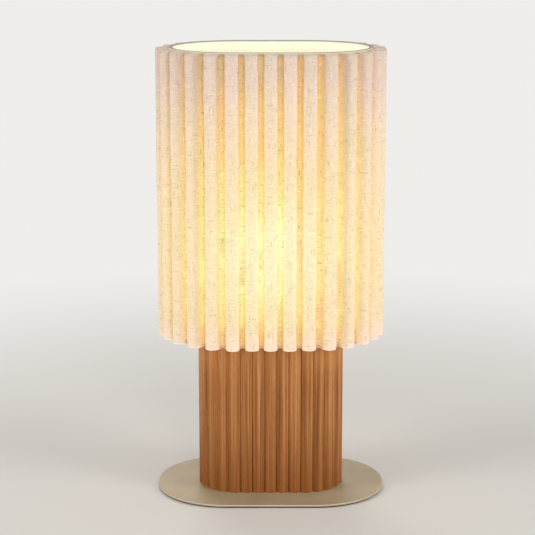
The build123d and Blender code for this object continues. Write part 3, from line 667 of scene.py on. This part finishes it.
# Reeds of the column, each with its own tone and grain
def reed_wood(name):
    made = Finish(name, roughness=0.42)
    x, y, z = made.split(made.place)[0:3]

    # Travel round the column from the middle of the front, and the reed's number
    half = column_straight / 2
    nearest = made.math("MAXIMUM", made.math("MINIMUM", x, half), -half)
    beyond = made.math("SUBTRACT", x, nearest)
    angle = made.math("ARCTAN2", beyond, made.math("ABSOLUTE", y))
    front = made.math("MULTIPLY_ADD", angle, groove_radius, nearest)
    behind = made.math("GREATER_THAN", y, 0.0)
    turn = made.math("SUBTRACT", column_outline / 2, made.times(front, 2.0))
    travel = made.math("MULTIPLY_ADD", behind, turn, front)
    steps = made.times(travel, reed_count / column_outline)
    number = made.math("ROUND", steps)
    across = made.math("SUBTRACT", steps, number)
    tone = made.random(number)
    other_tone = made.random(made.math("ADD", number, 40.5))
    shift = made.times(tone, 9.0)

    def grain_noise(wide, tall, detail):
        """Noise drawn out along a reed, with so many steps across it and in a metre of it."""
        spot = made.join(
            made.math("MULTIPLY_ADD", across, wide, shift),
            made.times(shift, wide),
            made.times(z, tall),
        )
        return made.noise(spot, detail, 0.6)

    def band_noise(wide, tall, lift):
        """Noise that runs on from reed to reed, with so many steps in a reed and in a metre of it."""
        return made.noise(made.join(made.times(steps, wide), lift, made.times(z, tall)), 1.0)

    figure = grain_noise(2.6, 9.0, 4.0)
    streaks = grain_noise(6.0, 5.0, 2.0)
    fibres = grain_noise(30.0, 60.0, 2.0)
    pores = made.span(grain_noise(34.0, 160.0, 1.0), 0.64, 0.72)
    bands = band_noise(2.3, 1.6, 3.0)
    lines = band_noise(7.5, 4.0, 7.0)
    hairs = band_noise(17.0, 7.0, 11.0)
    grain = made.math("MULTIPLY_ADD", streaks, 0.45, made.times(figure, 0.55))
    ground = made.ramp(
        made.span(grain, 0.36, 0.64),
        [
            (0.0, (0.330, 0.105, 0.018)),
            (0.35, (0.390, 0.140, 0.026)),
            (0.65, (0.440, 0.170, 0.038)),
            (1.0, (0.500, 0.210, 0.058)),
        ],
    )

    # Painted highlight near the crest of a reed, and its flanks painted lighter as fill light against the
    # shade in the grooves
    lean = made.span(other_tone, 0.0, 1.0, 0.02, 0.20)
    highlight_width = made.span(tone, 0.0, 1.0, 0.20, 0.30)
    off_highlight = made.math("ABSOLUTE", made.math("SUBTRACT", across, lean))
    ridge_highlight = made.span(off_highlight, highlight_width, 0.04, smooth=True)
    ridge_highlight = made.times(ridge_highlight, made.span(figure, 0.35, 0.62, 0.0, 0.50))
    flank_fill_light = made.span(made.math("ABSOLUTE", across), 0.30, 0.48, smooth=True)

    # Tones of the reeds, broad bands, painted crest highlight and flanks fill light, lines and hairs,
    # painted shade at the foot and painted light at the head, fibres and pores
    wood = made.lay_over(
        ground,
        [
            (made.span(tone, 0.0, 1.0, 0.0, 0.45), (0.400, 0.165, 0.024)),
            (made.span(other_tone, 0.0, 1.0, 0.0, 0.40), (0.470, 0.175, 0.066)),
            (made.span(bands, 0.49, 0.62, 0.0, 0.85), (0.235, 0.078, 0.012)),
            (made.span(bands, 0.49, 0.36, 0.0, 0.65), (0.560, 0.255, 0.095)),
            # painted highlight on the crest
            (ridge_highlight, (0.560, 0.250, 0.085)),
            # flanks painted lighter, against the shade in the grooves
            (made.times(flank_fill_light, 0.75), (0.700, 0.320, 0.100)),
            (made.span(lines, 0.58, 0.66, 0.0, 0.62), (0.190, 0.060, 0.010)),
            (made.span(lines, 0.42, 0.34, 0.0, 0.55), (0.660, 0.320, 0.125)),
            (made.span(hairs, 0.60, 0.67, 0.0, 0.50), (0.170, 0.052, 0.010)),
            (made.span(hairs, 0.38, 0.31, 0.0, 0.45), (0.680, 0.340, 0.140)),
            # painted shade: darker towards the foot, on the plate
            (made.span(z, 0.100, 0.004, 0.0, 0.58, smooth=True), (0.250, 0.074, 0.010)),
            # painted light: lighter towards the head, under the shade
            (made.span(z, 0.105, 0.170, 0.0, 0.50, smooth=True), (0.740, 0.330, 0.115)),
            (made.span(fibres, 0.35, 0.65, 0.0, 0.16), (0.200, 0.070, 0.018)),
            (made.times(pores, 0.40), (0.130, 0.045, 0.012)),
        ],
    )
    return made.wear(
        Base_Color=wood,
        Roughness=made.span(grain, 0.3, 0.7, 0.52, 0.36),
        Specular_IOR_Level=0.25,
        Normal=made.bump(made.math("SUBTRACT", made.times(grain, 0.7), pores), 0.00012),
    )


dress(["reeds_front", "reeds_right", "reeds_back", "reeds_left"], reed_wood("reed_wood"))


# Powder-coated plate, with a highlight painted along its top edge
def plate_coating():
    made = Finish("plate_coating", roughness=0.5)
    fine = made.noise(made.place, 2.0, 0.6, scale=1500.0)
    cloud = made.noise(made.place, 3.0, scale=22.0)
    tone = made.math("MULTIPLY_ADD", fine, 0.45, made.times(cloud, 0.55))
    coat = made.ramp(
        made.span(tone, 0.35, 0.65),
        [(0.0, (0.385, 0.300, 0.185)), (0.5, (0.440, 0.350, 0.222)), (1.0, (0.495, 0.405, 0.268))],
    )
    z = made.split(made.place)[2]
    above_side = made.span(z, plate_top - 0.0011, plate_top - 0.0005)
    below_top = made.span(z, plate_top - 0.00002, plate_top - 0.00012)
    # painted highlight along the top edge of the plate
    painted_edge_lighting = made.times(above_side, below_top)
    return made.wear(
        Base_Color=made.mix(made.times(painted_edge_lighting, 0.6), coat, (0.70, 0.64, 0.52)),
        Roughness=made.span(fine, 0.3, 0.7, 0.50, 0.66),
        Metallic=0.08,
        Normal=made.bump(fine, 0.00005),
    )


dress(["base_plate"], plate_coating())


# Plain finishes of the pieces that show less, each with a fine grain of its own
def grained(
    name,
    colour,
    roughness,
    metallic=0.0,
    scale=400.0,
    spread=0.12,
    depth=0.00004,
    along=(1.0, 1.0, 1.0),
):
    """Material whose tone spreads to both sides of its colour, with a grain that along can draw out."""
    made = Finish(name, roughness, metallic)
    fine = made.noise(made.stretch(made.place, along), 3.0, 0.55, scale=scale)
    cloud = made.noise(made.place, 2.0, scale=scale / 12.0)
    tone = made.math("MULTIPLY_ADD", fine, 0.5, made.times(cloud, 0.5))
    dark = tuple(part * (1.0 - spread) for part in colour)
    light = tuple(min(1.0, part * (1.0 + spread)) for part in colour)
    return made.wear(
        Base_Color=made.mix(made.span(tone, 0.35, 0.65), dark, light),
        Roughness=made.span(fine, 0.3, 0.7, roughness - 0.06, roughness + 0.06),
        Normal=made.bump(fine, depth),
    )


foam = grained("pad_foam", (0.045, 0.042, 0.038), 0.9, scale=1400.0, spread=0.4, depth=0.0002)
zinc = grained("zinc_steel", (0.60, 0.61, 0.63), 0.32, metallic=1.0, scale=900.0)
core = grained("core_wood", (0.46, 0.29, 0.15), 0.6, scale=220.0, spread=0.3, along=(1.0, 1.0, 0.08))
boards = grained("board_wood", (0.52, 0.36, 0.20), 0.6, scale=200.0, spread=0.25, along=(0.15, 1.0, 1.0))
brass = grained("brass", (0.78, 0.56, 0.24), 0.28, metallic=1.0, scale=700.0)
wire = grained("white_wire", (0.74, 0.72, 0.68), 0.35, scale=600.0)
holder = grained("holder_plastic", (0.72, 0.70, 0.66), 0.38)
aluminium = grained("board_aluminium", (0.80, 0.80, 0.78), 0.35, metallic=0.6)
nickel = grained("nickel", (0.70, 0.68, 0.64), 0.22, metallic=1.0, scale=900.0)
solder = grained("tip_solder", (0.62, 0.60, 0.56), 0.4, metallic=1.0, scale=900.0)
dress(["base_pad"], foam)
dress(["base_screws", "lamp_pipe", "pipe_washers", "pipe_nuts"], zinc)
dress(["column_core"], core)
dress(["column_foot_board", "column_top_board"], boards)
dress(["cable_bush"], grained("dark_plastic", (0.06, 0.045, 0.035), 0.45, scale=700.0))
dress(["holder_cap", "holder_skirt", "retaining_ring"], holder)
dress(["switch_bar"], grained("switch_plastic", (0.76, 0.74, 0.70), 0.32))
dress(["contact_block"], grained("white_ceramic", (0.80, 0.78, 0.74), 0.25))
dress(["terminal_blocks", "terminal_screws", "centre_contact", "lamp_screw_shell"], brass)
dress(["top_wire", "bottom_wire", "carrier_arms", "carrier_ring"], wire)
dress(["bulb_housing"], grained("housing_plastic", (0.78, 0.77, 0.74), 0.35))
dress(["bulb_led_board"], aluminium)
dress(["bulb_driver_board"], grained("board_green", (0.06, 0.22, 0.08), 0.45, scale=600.0))
dress(["bulb_capacitor"], grained("capacitor_sleeve", (0.05, 0.07, 0.14), 0.35, scale=500.0))
dress(["bulb_screw_cap"], nickel)
dress(["bulb_cap_insulator"], grained("black_glass", (0.03, 0.028, 0.03), 0.15, scale=500.0))
dress(["bulb_tip_contact"], solder)


def lit(name, colour, glow, strength, roughness):
    """Material that shines by itself, a little uneven."""
    made = Finish(name, roughness)
    cloud = made.span(made.noise(made.place, 2.0, scale=90.0), 0.3, 0.7)
    return made.wear(
        Base_Color=made.mix(cloud, tuple(part * 0.95 for part in colour), colour),
        Emission_Color=made.mix(cloud, tuple(part * 0.96 for part in glow), glow),
        Emission_Strength=strength,
    )


opal = lit("opal_plastic", (0.82, 0.81, 0.76), (1.0, 0.93, 0.72), strength=3.0, roughness=0.3)
phosphor = lit("led_phosphor", (0.80, 0.66, 0.12), (1.0, 0.88, 0.50), strength=6.0, roughness=0.4)
dress(["bulb_diffuser"], opal)
dress(["bulb_leds"], phosphor)

# Floor, background and lights
pale_grey = (0.86, 0.85, 0.83)
floor_colour = (0.80, 0.79, 0.77)
room_colour = (1.0, 0.98, 0.95)
light_colour = (1.0, 0.97, 0.93)
floor_reach = 14.0
shadow_reach = 0.25
backdrop_reach = 1.1
room_light = 0.34
aim_height = 0.22


def seen_directly(tree):
    """Is 1 for the camera, and for what metal and glass show."""
    path = tree.nodes.new("ShaderNodeLightPath")
    either = path.outputs["Is Camera Ray"]
    for kind in ("Is Glossy Ray", "Is Transmission Ray"):
        larger = tree.nodes.new("ShaderNodeMath")
        larger.operation = "MAXIMUM"
        tree.links.new(either, larger.inputs[0])
        tree.links.new(path.outputs[kind], larger.inputs[1])
        either = larger.outputs[0]
    return either


def studio_floor():
    """Pale floor that takes the object's shadow and turns into the background further away."""
    made = Finish("studio_floor", roughness=0.8)
    made.wear(Base_Color=floor_colour)
    away = made.distance(made.place, (0.0, 0.0, 0.0))
    away = made.span(away, shadow_reach, backdrop_reach, smooth=True)
    backdrop = made.tree.nodes.new("ShaderNodeEmission")
    backdrop.inputs["Color"].default_value = (*pale_grey, 1.0)
    blend = made.tree.nodes.new("ShaderNodeMixShader")
    made.put(made.times(seen_directly(made.tree), away), blend.inputs[0])
    made.put(made.surface.outputs[0], blend.inputs[1])
    made.put(backdrop.outputs[0], blend.inputs[2])
    made.put(blend.outputs[0], made.tree.nodes["Material Output"].inputs["Surface"])
    return made.material


floor_corners = [(x * floor_reach, y * floor_reach, 0) for x, y in ((-1, -1), (1, -1), (1, 1), (-1, 1))]
floor = new_mesh("floor", floor_corners, [(0, 1, 2, 3)], smooth=False)
floor.data.materials.append(studio_floor())


def pale_room():
    """Even light from all round, seen as the pale background."""
    world = bpy.data.worlds.new("studio")
    world.use_nodes = True
    tree = world.node_tree
    back = tree.nodes["Background"]
    back.inputs["Color"].default_value = (*room_colour, 1.0)
    back.inputs["Strength"].default_value = room_light
    seen = tree.nodes.new("ShaderNodeBackground")
    seen.inputs["Color"].default_value = (*pale_grey, 1.0)
    blend = tree.nodes.new("ShaderNodeMixShader")
    tree.links.new(seen_directly(tree), blend.inputs[0])
    tree.links.new(back.outputs[0], blend.inputs[1])
    tree.links.new(seen.outputs[0], blend.inputs[2])
    tree.links.new(blend.outputs[0], tree.nodes["World Output"].inputs["Surface"])
    bpy.context.scene.world = world


pale_room()


def soft_light(name, place, size, power):
    """Round area light that faces the middle of the lamp."""
    light = bpy.data.lights.new(name, "AREA")
    light.shape = "DISK"
    light.size = size
    light.energy = power
    light.color = light_colour
    lamp = bpy.data.objects.new(name, light)
    lamp.location = place
    aim = Vector((0.0, 0.0, aim_height)) - Vector(place)
    lamp.rotation_euler = aim.to_track_quat("-Z", "Y").to_euler()
    bpy.context.scene.collection.objects.link(lamp)


soft_light("key_light", (0.45, -2.2, 0.80), size=0.6, power=11.0)
soft_light("left_light", (-1.9, -0.9, 0.9), size=1.0, power=18.0)
soft_light("right_light", (1.9, -0.9, 0.85), size=1.0, power=18.0)
soft_light("back_light", (-0.4, 1.9, 1.3), size=1.2, power=11.5)

# Camera at the photograph's angle
camera_place = (-0.00333, -1.705, 0.612)
camera_tilt = 0.22
lens_length = 115.5
sensor_width = 36.0
camera = bpy.data.objects.new("camera", bpy.data.cameras.new("camera"))
camera.data.lens = lens_length
camera.data.sensor_width = sensor_width
camera.location = camera_place
camera.rotation_euler = (pi / 2 - camera_tilt, 0.0, 0.0)
bpy.context.scene.collection.objects.link(camera)
bpy.context.scene.camera = camera
bpy.context.scene.view_settings.view_transform = "Standard"
